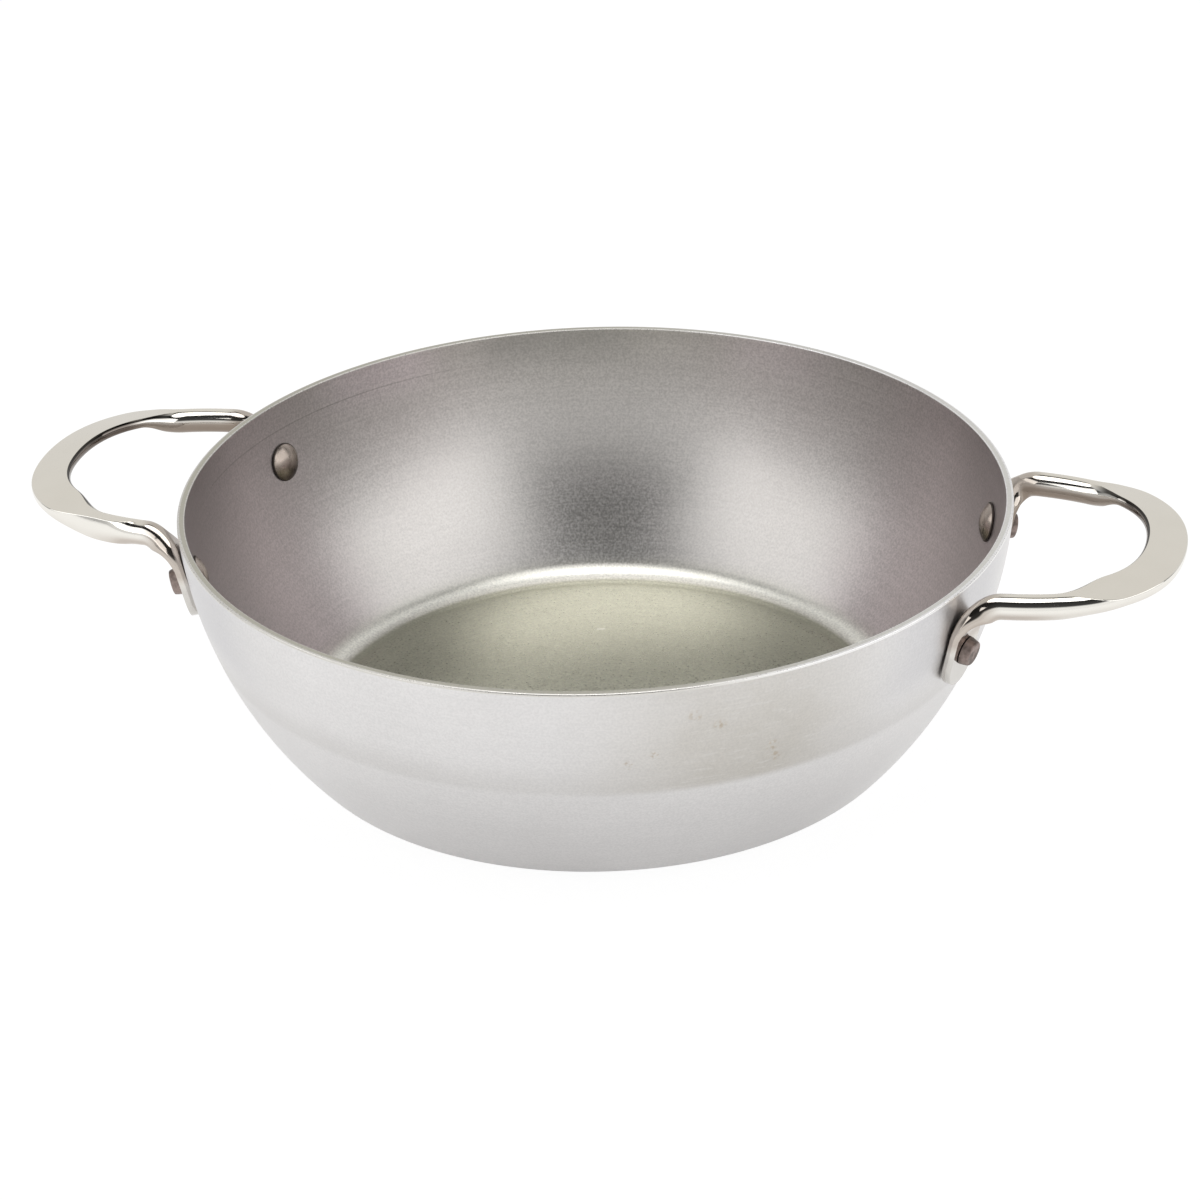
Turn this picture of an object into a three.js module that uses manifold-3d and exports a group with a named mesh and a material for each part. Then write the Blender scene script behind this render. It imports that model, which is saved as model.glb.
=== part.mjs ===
// Deep two-handled braising pan. The body is pressed from one steel sheet, each handle is one steel rod
// with a flattened grip and two flattened feet, and a rivet holds each foot to the wall.
// Millimetres, +Z up. The origin is the centre of the base, and the handles point along X.
import * as THREE from 'three';
import { mergeVertices } from 'three/addons/utils/BufferGeometryUtils.js';
import Module from 'manifold-3d';

const wasm = await Module();
wasm.setup();

// Driving dimensions of the body
const RIM_RADIUS = 160; // outside of the rim
const PAN_HEIGHT = 99; // base to rim
const SHEET = 3; // thickness of the pressed sheet
const WALL_ARC_RADIUS = 161.6; // outside curve of the wall, seen in section
const RIM_LEAN_DEG = 3.6; // lean of the wall at the rim, from the vertical
const CORNER_RADIUS = 12; // outside corner between wall and base

// Driving dimensions of the handles
const ROD_DIAMETER = 9.6;
const HANDLE_DROP = 2.2; // rim down to the level top of the handle
const HANDLE_REACH = 66.4; // rim out to the far edge of the grip
const GRIP_WIDTH = 15.6;
const GRIP_THICKNESS = 3.8;
const GRIP_SLOPE_DEG = 11; // how far the grip's flat falls away outwards
const EDGE_RADIUS = 0.6; // rounded edges of grip and feet
const EDGE_TILT_DEG = 38; // turn from a flat to the round side, at those edges
const GRIP_SHOULDER = 43; // from the middle of the grip along the loop, at full width
const GRIP_HALF_LENGTH = 40; // from the middle of the grip along the loop, pressed flat
const GRIP_TAPER = 25; // length over which the flat turns into round rod
const LOOP_FULLNESS = 40; // reach of the loop's curve to each side of its middle
const ARM_FULLNESS = 25; // reach of the loop's curve along each arm
const ARM_CONVERGENCE_DEG = 5; // how far each arm leans in towards the grip
const BEND_INSIDE_RADIUS = 4.4; // inside of the bend between arm and foot
const FOOT_WIDTH = 19.5;
const FOOT_THICKNESS = 3.6;
const FOOT_TAIL = 15; // rivet to the rounded end of the foot
const FOOT_MARGIN = 1.5; // flat left round the rivet's tail
const FOOT_TAPER = 16; // length over which the foot turns into round rod

// Driving dimensions of the rivets
const RIVET_SPACING = 102; // between the two rivets of one handle
const LEFT_REAR_SHIFT = 2.8; // this rivet is further to the rear, off the middle of its foot
const RIVET_DROP = 25; // rim down to the rivets
const SHANK_DIAMETER = 7;
const HEAD_DIAMETER = 15.6;
const HEAD_HEIGHT = 3.2;
const HEAD_EDGE = 0.7; // straight edge under the head's dome
const TAIL_DIAMETER = 11;
const TAIL_LENGTH = 3.4;
const TAIL_ROUND = 0.6; // rounded edge of the tail's end

// Clearances
const SEAT_GAP = 0.3; // between a foot, or a rivet, and what it seats on
const SHANK_GAP = 0.3; // round a rivet's shank, in the holes

// Facets
const BODY_SIDES = 96;
const RIVET_SIDES = 20;
const ARC_STEPS = 10;
const CORNER_STEPS = 4;
const DOME_STEPS = 5;
const EDGE_POINTS = 5; // on each quarter of the rod's section
const LOOP_STEPS = 16;
const BEND_STEPS = 8;
const FOOT_STEPS = 3;
const FOOT_END_STEPS = 4;

const QUARTER_TURN = Math.PI / 2;
const UP = new THREE.Vector3(0, 0, 1);
const LATHE_AXIS = new THREE.Vector3(0, 1, 0);

const STEEL_SHEET = new THREE.MeshStandardMaterial({ color: 0xb4b2b0, roughness: 0.45, metalness: 0.9 });
const POLISHED_STEEL = new THREE.MeshStandardMaterial({ color: 0xd4d2cc, roughness: 0.12, metalness: 1 });
const RIVET_STEEL = new THREE.MeshStandardMaterial({ color: 0x6f6359, roughness: 0.4, metalness: 0.9 });

// Solids

function toSolid(geometry) {
  const bare = geometry.clone();
  bare.deleteAttribute('normal');
  bare.deleteAttribute('uv');
  const merged = mergeVertices(bare);
  const corners = merged.index.array;
  const kept = [];
  for (let i = 0; i < corners.length; i += 3) {
    const [a, b, c] = [corners[i], corners[i + 1], corners[i + 2]];
    if (a !== b && b !== c && c !== a) {
      kept.push(a, b, c);
    }
  }
  const vertProperties = new Float32Array(merged.attributes.position.array);
  return new wasm.Manifold(new wasm.Mesh({ numProp: 3, vertProperties, triVerts: new Uint32Array(kept) }));
}

function toGeometry(solid) {
  const mesh = solid.getMesh();
  const geometry = new THREE.BufferGeometry();
  geometry.setAttribute('position', new THREE.BufferAttribute(new Float32Array(mesh.vertProperties), 3));
  geometry.setIndex(new THREE.BufferAttribute(new Uint32Array(mesh.triVerts), 1));
  geometry.computeVertexNormals();
  return geometry;
}

function namedMesh(name, geometry, material) {
  const mesh = new THREE.Mesh(geometry, material);
  mesh.name = name;
  return mesh;
}

// The wall in section: one long arc from the rim, a corner arc, then the flat base

const rimLean = THREE.MathUtils.degToRad(RIM_LEAN_DEG);
const wallCentre = new THREE.Vector2(
  RIM_RADIUS - WALL_ARC_RADIUS * Math.cos(rimLean),
  PAN_HEIGHT + WALL_ARC_RADIUS * Math.sin(rimLean),
);
// Lean where the wall's arc runs tangent into the corner, whose arc ends on the base
const cornerLean = Math.asin((wallCentre.y - CORNER_RADIUS) / (WALL_ARC_RADIUS - CORNER_RADIUS));
const cornerCentre = new THREE.Vector2(
  wallCentre.x + (WALL_ARC_RADIUS - CORNER_RADIUS) * Math.cos(cornerLean),
  CORNER_RADIUS,
);

function arcPoints(centre, radius, startLean, endLean, steps) {
  const points = [];
  for (let i = 0; i <= steps; i += 1) {
    const lean = THREE.MathUtils.lerp(startLean, endLean, i / steps);
    points.push(new THREE.Vector2(centre.x + radius * Math.cos(lean), centre.y - radius * Math.sin(lean)));
  }
  return points;
}

function wallLeanAt(height) {
  return Math.asin((wallCentre.y - height) / WALL_ARC_RADIUS);
}

function bodyGeometry() {
  const insideArc = WALL_ARC_RADIUS - SHEET;
  const insideRimLean = Math.asin((wallCentre.y - PAN_HEIGHT) / insideArc);
  const profile = [
    new THREE.Vector2(0, 0),
    ...arcPoints(cornerCentre, CORNER_RADIUS, QUARTER_TURN, cornerLean, CORNER_STEPS),
    ...arcPoints(wallCentre, WALL_ARC_RADIUS, cornerLean, rimLean, ARC_STEPS).slice(1),
    ...arcPoints(wallCentre, insideArc, insideRimLean, cornerLean, ARC_STEPS),
    ...arcPoints(cornerCentre, CORNER_RADIUS - SHEET, cornerLean, QUARTER_TURN, CORNER_STEPS).slice(1),
    new THREE.Vector2(0, SHEET),
  ];
  return new THREE.LatheGeometry(profile, BODY_SIDES).rotateX(QUARTER_TURN);
}

// Rivet places: on the outside of the wall, square to it

const rivetHeight = PAN_HEIGHT - RIVET_DROP;
const rivetLean = wallLeanAt(rivetHeight);
const rivetRadius = wallCentre.x + WALL_ARC_RADIUS * Math.cos(rivetLean);
const rivetAzimuth = Math.asin(RIVET_SPACING / 2 / rivetRadius);
const RIVET_AZIMUTHS = {
  right_rear_rivet: rivetAzimuth,
  right_front_rivet: -rivetAzimuth,
  left_rear_rivet: Math.PI - Math.asin((RIVET_SPACING / 2 + LEFT_REAR_SHIFT) / rivetRadius),
  left_front_rivet: Math.PI + rivetAzimuth,
};

function rivetPlace(azimuth) {
  const radial = new THREE.Vector3(Math.cos(azimuth), Math.sin(azimuth), 0);
  const point = radial.clone().multiplyScalar(rivetRadius).setZ(rivetHeight);
  const outward = radial.clone().multiplyScalar(Math.cos(rivetLean)).setZ(-Math.sin(rivetLean));
  return { point, outward, turn: new THREE.Quaternion().setFromUnitVectors(LATHE_AXIS, outward) };
}

function rivetGeometry() {
  const shank = SHANK_DIAMETER / 2;
  const head = HEAD_DIAMETER / 2;
  const tail = TAIL_DIAMETER / 2;
  // The head seats in a hollow wall, so its rim clears the wall before its middle does
  const hollowRadius = Math.min(rivetRadius, WALL_ARC_RADIUS) - SHEET;
  const hollow = head ** 2 / (2 * hollowRadius);
  const headSeat = -SHEET - SEAT_GAP - hollow;
  const tailSeat = SEAT_GAP + FOOT_THICKNESS + SEAT_GAP;
  const tailEnd = tailSeat + TAIL_LENGTH;
  const domeRise = HEAD_HEIGHT - HEAD_EDGE;
  const domeRadius = (head ** 2 + domeRise ** 2) / (2 * domeRise);
  const domeAngle = Math.asin(head / domeRadius);
  const profile = [];
  for (let i = 0; i <= DOME_STEPS; i += 1) {
    const angle = domeAngle * i / DOME_STEPS;
    const sink = domeRadius * (1 - Math.cos(angle));
    profile.push(new THREE.Vector2(domeRadius * Math.sin(angle), headSeat - HEAD_HEIGHT + sink));
  }
  profile[0].x = 0;
  profile.push(new THREE.Vector2(head, headSeat));
  profile.push(new THREE.Vector2(shank, headSeat));
  profile.push(new THREE.Vector2(shank, tailSeat));
  profile.push(new THREE.Vector2(tail, tailSeat));
  profile.push(new THREE.Vector2(tail, tailEnd - TAIL_ROUND));
  profile.push(new THREE.Vector2(tail - TAIL_ROUND, tailEnd));
  profile.push(new THREE.Vector2(0, tailEnd));
  return new THREE.LatheGeometry(profile, RIVET_SIDES);
}

// A drill through wall and foot, for the holes that the shanks pass
function rivetDrill(azimuth) {
  const place = rivetPlace(azimuth);
  const length = 2 * (SHEET + FOOT_THICKNESS + ROD_DIAMETER);
  const radius = SHANK_DIAMETER / 2 + SHANK_GAP;
  const drill = new THREE.CylinderGeometry(radius, radius, length, RIVET_SIDES);
  return toSolid(drill.applyQuaternion(place.turn).translate(place.point.x, place.point.y, place.point.z));
}

function drilled(geometry) {
  const drills = Object.values(RIVET_AZIMUTHS).map(rivetDrill);
  return toGeometry(drills.reduce((solid, drill) => solid.subtract(drill), toSolid(geometry)));
}

// The handle at +X. A guide line runs along the top of the loop, over the bend and down the inner face of
// the foot, and each section of the rod hangs from it, so the guide is level and the foot lies on the wall.

function footFrame() {
  const place = rivetPlace(rivetAzimuth);
  const rise = place.outward.clone().cross(UP).cross(place.outward).normalize();
  const seat = place.point.clone().addScaledVector(place.outward, SEAT_GAP);
  return { seat, rise, facing: place.outward.clone().negate() };
}

function smooth(value) {
  return THREE.MathUtils.smoothstep(value, 0, 1);
}

// Section of the rod, by its distance along the rod from the rivet and from the middle of the grip
function rodSection(fromRivet, fromMiddle) {
  const flatFoot = TAIL_DIAMETER / 2 + FOOT_MARGIN;
  const foot = 1 - smooth((fromRivet - flatFoot) / FOOT_TAPER);
  const roundFrom = GRIP_HALF_LENGTH + GRIP_TAPER;
  const grip = 1 - smooth((fromMiddle - GRIP_HALF_LENGTH) / GRIP_TAPER);
  const spread = 1 - smooth((fromMiddle - GRIP_SHOULDER) / (roundFrom - GRIP_SHOULDER));
  const width = ROD_DIAMETER + foot * (FOOT_WIDTH - ROD_DIAMETER) + spread * (GRIP_WIDTH - ROD_DIAMETER);
  const thickness =
    ROD_DIAMETER + foot * (FOOT_THICKNESS - ROD_DIAMETER) + grip * (GRIP_THICKNESS - ROD_DIAMETER);
  return { width, thickness, grip, flatness: Math.max(foot, grip) };
}

// Stations of half the handle, from the end of its foot at +Y to the middle of the grip
function halfHandle() {
  const { seat, rise, facing } = footFrame();
  const topHeight = PAN_HEIGHT - HANDLE_DROP;
  const cornerAt = (topHeight - seat.z) / rise.z;
  const corner = seat.clone().addScaledVector(rise, cornerAt);
  const convergence = THREE.MathUtils.degToRad(ARM_CONVERGENCE_DEG);
  const alongArm = new THREE.Vector3(Math.cos(convergence), -Math.sin(convergence), 0);
  const bendRadius = BEND_INSIDE_RADIUS + ROD_DIAMETER;
  const bendAngle = rise.angleTo(alongArm);
  const bendReach = bendRadius * Math.tan(bendAngle / 2);
  const bendStartAt = cornerAt - bendReach;
  const bendEndAt = bendStartAt + bendRadius * bendAngle;

  const armStart = corner.clone().addScaledVector(alongArm, bendReach);
  const tip = new THREE.Vector3(RIM_RADIUS + HANDLE_REACH - GRIP_WIDTH / 2, 0, topHeight);
  const loop = new THREE.CubicBezierCurve3(
    armStart,
    armStart.clone().addScaledVector(alongArm, ARM_FULLNESS),
    tip.clone().setY(LOOP_FULLNESS),
    tip,
  );
  const wholeLength = bendEndAt + loop.getLength();
  const stations = [];

  function addStation(at, point, tangent, facingHere, widthShare = 1) {
    const section = rodSection(at, wholeLength - at);
    stations.push({ point, tangent, facing: facingHere, widthShare, ...section });
  }

  // Rounded end of the foot
  const endRadius = FOOT_WIDTH / 2;
  const endCentreAt = endRadius - FOOT_TAIL;
  for (let i = FOOT_END_STEPS; i > 0; i -= 1) {
    const angle = QUARTER_TURN * (i - 0.5) / FOOT_END_STEPS;
    const at = endCentreAt - endRadius * Math.sin(angle);
    addStation(at, seat.clone().addScaledVector(rise, at), rise, facing, Math.cos(angle));
  }
  // Straight of the foot, past the rivet
  for (let i = 0; i < FOOT_STEPS; i += 1) {
    const at = THREE.MathUtils.lerp(endCentreAt, bendStartAt, i / FOOT_STEPS);
    addStation(at, seat.clone().addScaledVector(rise, at), rise, facing);
  }
  // Bend from foot to arm
  const inward = alongArm.clone().sub(rise).normalize();
  const bendCentre = corner.clone().addScaledVector(inward, bendRadius / Math.cos(bendAngle / 2));
  const bendStart = corner.clone().addScaledVector(rise, -bendReach);
  const spoke = bendStart.sub(bendCentre).divideScalar(bendRadius);
  for (let i = 0; i <= BEND_STEPS; i += 1) {
    const turn = bendAngle * i / BEND_STEPS;
    const out = spoke.clone().multiplyScalar(Math.cos(turn)).addScaledVector(rise, Math.sin(turn));
    const tangent = rise.clone().multiplyScalar(Math.cos(turn)).addScaledVector(spoke, -Math.sin(turn));
    const point = bendCentre.clone().addScaledVector(out, bendRadius);
    const facingHere = facing.clone().lerp(UP, smooth(i / BEND_STEPS));
    addStation(bendStartAt + bendRadius * turn, point, tangent, facingHere);
  }
  // Arm and loop, level, to the middle of the grip
  for (let i = 1; i <= LOOP_STEPS; i += 1) {
    const share = i / LOOP_STEPS;
    const at = THREE.MathUtils.lerp(bendEndAt, wholeLength, share);
    addStation(at, loop.getPointAt(share), loop.getTangentAt(share), UP);
  }
  return stations;
}

// One ring of points per station: a round rod, or a bar with two flats and round sides. It hangs from the
// guide line by half its thickness, and the grip's flats fall away outwards.
function sectionRing(station) {
  const outward = UP.clone().cross(station.tangent);
  const fall = station.grip * Math.tan(THREE.MathUtils.degToRad(GRIP_SLOPE_DEG));
  const sloped = station.facing.clone().addScaledVector(outward, fall);
  const across = sloped.clone().cross(station.tangent).normalize();
  const facing = station.tangent.clone().cross(across);
  const half = station.thickness / 2;
  const centre = station.point.clone().addScaledVector(facing, -half);
  const edge = Math.min(EDGE_RADIUS, half);
  // The round side's arc, and the edge's arc inside it, which ends on the flat
  const sideRadius = half / Math.cos(station.flatness * THREE.MathUtils.degToRad(EDGE_TILT_DEG));
  const sideCentre = station.width / 2 - sideRadius;
  const edgeReach = Math.sqrt((sideRadius - edge) ** 2 - (half - edge) ** 2);
  const edgeTurn = Math.atan2(edgeReach, half - edge);
  const ring = [];
  for (let i = 0; i < 4 * EDGE_POINTS; i += 1) {
    const angle = QUARTER_TURN * (i + 0.5) / EDGE_POINTS;
    const [c, s] = [Math.cos(angle), Math.sin(angle)];
    const onEdge = Math.acos(Math.abs(s)) < edgeTurn;
    const arcX = onEdge ? sideCentre + edgeReach : sideCentre;
    const arcY = onEdge ? half - edge : 0;
    const radius = onEdge ? edge : sideRadius;
    const x = station.widthShare * (Math.sign(c) * arcX + radius * c);
    const y = Math.sign(s) * arcY + radius * s;
    ring.push(centre.clone().addScaledVector(across, x).addScaledVector(facing, y));
  }
  return ring;
}

function mirrored(ring) {
  return ring.map((point) => new THREE.Vector3(point.x, -point.y, point.z));
}

function middleOf(ring) {
  return ring.reduce((sum, point) => sum.add(point), new THREE.Vector3()).divideScalar(ring.length);
}

function loftGeometry(rings) {
  const positions = [];
  const corners = [];
  const sides = rings[0].length;
  rings.forEach((ring) => ring.forEach((point) => positions.push(point.x, point.y, point.z)));
  for (let r = 0; r + 1 < rings.length; r += 1) {
    for (let i = 0; i < sides; i += 1) {
      const j = (i + 1) % sides;
      const [a, b, c, d] = [r * sides + i, r * sides + j, (r + 1) * sides + j, (r + 1) * sides + i];
      corners.push(a, b, c, a, c, d);
    }
  }
  const last = rings.length - 1;
  for (const [r, flip] of [[0, true], [last, false]]) {
    const middle = positions.length / 3;
    const point = middleOf(rings[r]);
    positions.push(point.x, point.y, point.z);
    for (let i = 0; i < sides; i += 1) {
      const [a, b] = [r * sides + i, r * sides + (i + 1) % sides];
      corners.push(middle, flip ? b : a, flip ? a : b);
    }
  }
  const geometry = new THREE.BufferGeometry();
  geometry.setAttribute('position', new THREE.Float32BufferAttribute(positions, 3));
  geometry.setIndex(corners);
  return geometry;
}

function handleGeometry(turn) {
  const half = halfHandle().map(sectionRing);
  const otherHalf = half.slice(0, -1).reverse().map(mirrored);
  return drilled(loftGeometry([...half, ...otherHalf]).rotateZ(turn));
}

// Assembly

const pan = new THREE.Group();
pan.add(namedMesh('pan_body', drilled(bodyGeometry()), STEEL_SHEET));
pan.add(namedMesh('right_handle', handleGeometry(0), POLISHED_STEEL));
pan.add(namedMesh('left_handle', handleGeometry(Math.PI), POLISHED_STEEL));

const rivet = rivetGeometry();
for (const [name, azimuth] of Object.entries(RIVET_AZIMUTHS)) {
  const place = rivetPlace(azimuth);
  const mesh = namedMesh(name, rivet, RIVET_STEEL);
  mesh.position.copy(place.point);
  mesh.quaternion.copy(place.turn);
  pan.add(mesh);
}

export default pan;
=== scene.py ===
"""Looks of a deep two-handled braising pan: bare steel body, polished rod handles and dull rivets.

Metres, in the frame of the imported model: +Z up, the origin at the centre of the base, the handles along X.
"""
import math
import bmesh
import bpy
from mathutils import Matrix, Vector, noise


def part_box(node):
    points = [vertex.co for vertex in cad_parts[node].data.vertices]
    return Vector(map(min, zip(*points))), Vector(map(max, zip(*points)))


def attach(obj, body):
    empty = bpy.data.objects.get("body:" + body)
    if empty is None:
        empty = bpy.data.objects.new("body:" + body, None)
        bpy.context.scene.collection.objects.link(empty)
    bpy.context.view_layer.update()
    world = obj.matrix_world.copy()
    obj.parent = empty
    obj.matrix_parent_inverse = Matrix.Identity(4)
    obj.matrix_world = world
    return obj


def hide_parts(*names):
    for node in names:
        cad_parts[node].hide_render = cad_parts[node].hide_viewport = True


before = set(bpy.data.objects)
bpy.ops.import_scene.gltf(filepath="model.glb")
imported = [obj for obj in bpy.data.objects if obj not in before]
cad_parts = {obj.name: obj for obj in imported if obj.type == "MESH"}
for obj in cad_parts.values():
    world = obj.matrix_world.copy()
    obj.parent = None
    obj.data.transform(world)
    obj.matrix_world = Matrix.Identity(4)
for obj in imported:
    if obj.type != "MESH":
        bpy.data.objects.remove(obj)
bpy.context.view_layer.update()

MM = 0.001
UP = Vector((0, 0, 1))
QUARTER_TURN = math.pi / 2


def millimetres(*values):
    return tuple(value * MM for value in values)


def degrees(*values):
    return tuple(math.radians(value) for value in values)


# Body
RIM_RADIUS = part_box("pan_body")[1][0]
PAN_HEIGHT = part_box("pan_body")[1][2]
SHEET = 3 * MM
WALL_ARC_RADIUS = 161.6 * MM
RIM_LEAN = math.radians(3.6)
CORNER_RADIUS = 12 * MM
INSIDE_ROUND = 13 * MM  # round between wall and floor
RIM_OUTER_ROUND = 1.0 * MM
RIM_INNER_ROUND = 0.4 * MM
PRESS_LINE_HEIGHT = 54 * MM  # shallow line round the outside, left by the press
PRESS_LINE_ABOVE = 16 * MM
PRESS_LINE_BELOW = 3 * MM
PRESS_LINE_DEPTH = 0.05 * MM
SEAM_DEPTH = 0.42 * MM  # groove where the floor meets the round of the wall
SEAM_WIDTH = 2.6 * MM
FLOOR_RAMP = 4 * MM  # raised step inside the groove
FLOOR_RISE = 0.3 * MM

# Rivets
RIVET_SPACING = 102 * MM
LEFT_REAR_SHIFT = 2.8 * MM
RIVET_DROP = 25 * MM
SHANK_DIAMETER = 7 * MM
HEAD_DIAMETER = 15.6 * MM
HEAD_HEIGHT = 3.2 * MM
HEAD_EDGE = 0.2 * MM
HEAD_ROUND = 0.15 * MM
TAIL_DIAMETER = 11 * MM
TAIL_LENGTH = 3.4 * MM
TAIL_ROUND = 0.6 * MM
TAIL_TAPER = 0.8 * MM
HAMMER_DENT = 0.2 * MM  # how far hammering dents the tail
HAMMER_DENT_SIZE = 4 * MM
SEAT_GAP = 0.3 * MM
SHANK_GAP = 0.3 * MM
SLACK = 0.05 * MM

# Handles. A run is the length over which the rod keeps a form, and the length over which it then loses it
ROD_DIAMETER = 9.6 * MM
HANDLE_DROP = 2.2 * MM
HANDLE_REACH = 66.3 * MM
LOOP_FULLNESS = 40 * MM
ARM_FULLNESS = 25 * MM
ARM_CONVERGENCE = math.radians(5)
BEND_INSIDE_RADIUS = 4.4 * MM
GRIP_WIDTH = 15.6 * MM
GRIP_THICKNESS = 3.8 * MM
GRIP_SLOPE = math.radians(11)
GRIP_SHOULDER = 43 * MM
GRIP_RUN = millimetres(40, 25)
WIDE_RUN = (GRIP_SHOULDER, sum(GRIP_RUN) - GRIP_SHOULDER)
REAR_FLAT_RUN = millimetres(50, 14)  # the rear arms stay flat for longer, and thin
REAR_THIN_RUN = millimetres(44, 20)
LEFT_STEEP_RUN = millimetres(70, 15)  # the left handle's steep side runs on along its front arm
EDGE_RADIUS = 0.6 * MM
EDGE_TILT = math.radians(38)
OUTER_TILT = math.radians(66)  # the outer side of the grip is steeper
FOOT_WIDTH = 19.5 * MM
FOOT_THICKNESS = 3.6 * MM
FOOT_TAIL = 15 * MM
FOOT_MARGIN = 1.5 * MM
FOOT_TAPER = 16 * MM
FOOT_RUN = (TAIL_DIAMETER / 2 + FOOT_MARGIN, FOOT_TAPER)

# Fineness of the meshes
BODY_SIDES = 288
RIVET_SIDES = 64
WALL_STEPS = 72
CORNER_STEPS = 12
ROUND_STEPS = 8
EDGE_STEPS = 10
FOOT_END_STEPS = 8
FOOT_END_GAP = 0.3  # the first ring of a foot is this share of a step short of a point
FOOT_STEPS = 8
BEND_STEPS = 20
LOOP_STEPS = 72
DOME_STEPS = 14
SMOOTH_BELOW = math.radians(38)

# Camera, as fitted to the photograph
IMAGE_SIDE = 1200  # pixels
FOCAL_LENGTH = 3650  # pixels
SENSOR_WIDTH = 36  # millimetres, Blender's default
CAMERA_PITCH = math.radians(27.62)
CAMERA_ROLL = math.radians(-1.85)
STUDIO_TURN = math.radians(14.6)  # the studio and its camera are turned by this against the handles
RIM_FROM_CAMERA = Vector((-1.99, -41.46, 1400.2)) * MM  # the rim's centre: to the right, down and ahead


def smoothstep(value):
    share = min(max(value, 0), 1)
    return share * share * (3 - 2 * share)


def mix(start, end, share):
    return start + (end - start) * share


# Meshes

def make_piece(name, shape, materials):
    """An object from a bmesh, with its faces turned outwards."""
    bmesh.ops.recalc_face_normals(shape, faces=shape.faces)
    mesh = bpy.data.meshes.new(name)
    shape.to_mesh(mesh)
    shape.free()
    for material in materials:
        mesh.materials.append(material)
    piece = bpy.data.objects.new(name, mesh)
    bpy.context.scene.collection.objects.link(piece)
    return piece


def apply_modifiers(piece):
    """Keep the result of the piece's modifiers as its mesh."""
    graph = bpy.context.evaluated_depsgraph_get()
    result = bpy.data.meshes.new_from_object(piece.evaluated_get(graph))
    result.name = piece.name
    piece.modifiers.clear()
    piece.data = result


def drill(piece, drills):
    """Cut the tools out of the piece."""
    for tool in drills:
        cut = piece.modifiers.new("hole", "BOOLEAN")
        cut.operation = "DIFFERENCE"
        cut.solver = "EXACT"
        cut.object = tool
    apply_modifiers(piece)


def shade(piece):
    """Smooth shading that keeps edges sharp and large faces flat."""
    piece.data.shade_smooth()
    piece.data.set_sharp_from_angle(angle=SMOOTH_BELOW)
    weighted = piece.modifiers.new("flat faces stay flat", "WEIGHTED_NORMAL")
    weighted.keep_sharp = True
    apply_modifiers(piece)


def lathe(strips, sides, place=Matrix()):
    """A surface of revolution about Z. Each strip of (radius, height) points starts where the last one
    ends, and has a material slot of its own."""
    shape = bmesh.new()
    rings = []
    slots = []
    for slot, strip in enumerate(strips):
        for radius, height in strip[1 if slot else 0:]:
            count = 1 if radius == 0 else sides
            spokes = [2 * math.pi * i / count for i in range(count)]
            ring = [Vector((radius * math.cos(a), radius * math.sin(a), height)) for a in spokes]
            rings.append([shape.verts.new(place @ point) for point in ring])
            slots.append(slot)
    for low, high, slot in zip(rings, rings[1:], slots[1:]):
        for i in range(sides):
            j = i + 1
            corners = [low[i % len(low)], low[j % len(low)], high[j % len(high)], high[i % len(high)]]
            face = shape.faces.new(list(dict.fromkeys(corners)))
            face.material_index = slot
    return shape


def loft(rings):
    """A closed skin over rings that have the same number of points."""
    shape = bmesh.new()
    rows = [[shape.verts.new(point) for point in ring] for ring in rings]
    for low, high in zip(rows, rows[1:]):
        for i in range(len(low)):
            shape.faces.new((low[i - 1], low[i], high[i], high[i - 1]))
    shape.faces.new(rows[0])
    shape.faces.new(rows[-1])
    return shape


# The wall in section: one long arc from the rim, a corner arc, then the flat base

wall_centre = (
    RIM_RADIUS - WALL_ARC_RADIUS * math.cos(RIM_LEAN),
    PAN_HEIGHT + WALL_ARC_RADIUS * math.sin(RIM_LEAN),
)


def lean_at(height, radius):
    """Lean from the vertical where an arc about the wall's centre passes a height."""
    return math.asin((wall_centre[1] - height) / radius)


def on_arc(centre, radius, lean):
    return (centre[0] + radius * math.cos(lean), centre[1] - radius * math.sin(lean))


def arc(centre, radius, start, end, steps):
    return [on_arc(centre, radius, mix(start, end, i / steps)) for i in range(steps + 1)]


def corner_of(wall_radius, floor_height, radius):
    """Lean and centre of the arc that joins the wall to a flat base or floor."""
    lean = lean_at(floor_height + radius, wall_radius - radius)
    return lean, on_arc(wall_centre, wall_radius - radius, lean)


inside_arc = WALL_ARC_RADIUS - SHEET
corner_lean, corner_centre = corner_of(WALL_ARC_RADIUS, 0, CORNER_RADIUS)
inside_lean, inside_centre = corner_of(inside_arc, SHEET, INSIDE_ROUND)


def wall_point(height, radius):
    """Where an arc about the wall's centre passes a height."""
    return on_arc(wall_centre, radius, lean_at(height, radius))


def soft_corner(before, corner, after, reach):
    """Points of the round that softens a corner of a profile."""
    corner = Vector(corner)
    start = corner + (Vector(before) - corner).normalized() * reach
    end = corner + (Vector(after) - corner).normalized() * reach
    shares = [i / ROUND_STEPS for i in range(ROUND_STEPS + 1)]
    return [tuple(start.lerp(corner, t).lerp(corner.lerp(end, t), t)) for t in shares]


def press_line(point):
    """The outside of the wall draws in a little towards the press line, and steps out again below it."""
    radius, height = point
    above = height - PRESS_LINE_HEIGHT
    reach = PRESS_LINE_ABOVE if above > 0 else PRESS_LINE_BELOW
    return (radius - PRESS_LINE_DEPTH * (1 - smoothstep(abs(above) / reach)), height)


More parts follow.
